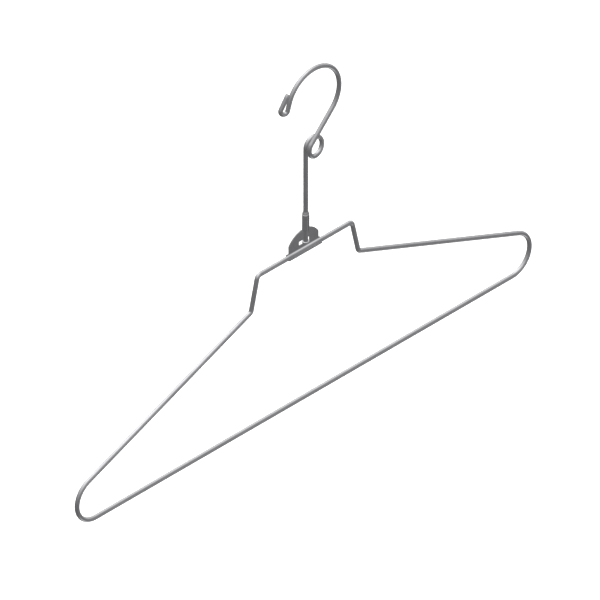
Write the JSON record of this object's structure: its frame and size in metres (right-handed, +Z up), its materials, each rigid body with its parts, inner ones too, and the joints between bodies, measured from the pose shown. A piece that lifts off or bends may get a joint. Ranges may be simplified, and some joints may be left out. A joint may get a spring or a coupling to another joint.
{
  "type": "clothes hanger",
  "caption": "Bent steel wire clothes hanger with a raised crown, straight trouser bar and a swivel hook with an eye turn and a folded tip.",
  "frame": {"origin": "where the line of a rail's top crosses the swivel axis, inside the crown of the hook", "axes": "+X along the hanger's width, +Y through the hanger towards the back of the bracket's plate, +Z up"},
  "size_m": [0.432, 0.0085, 0.272],
  "materials": {
    "wire": "drawn steel wire with a satin nickel-grey plating and fine lines along the wire",
    "sheet": "stamped and rolled sheet steel with the same satin grey plating",
    "fitting": "turned steel fittings with the same satin grey plating"
  },
  "bodies": {
    "hook": {"hook_wire": "wire", "stem_collar": "fitting", "retaining_washer": "fitting"},
    "frame": {"frame_wire": "wire", "swivel_bracket": "sheet"}
  },
  "joints": [
    {"name": "hook_swivel", "type": "hinge", "parent": "hook", "child": "frame", "pos_m": [0, 0, -0.12252], "axis": [0, 0, 1], "continuous": true}
  ]
}
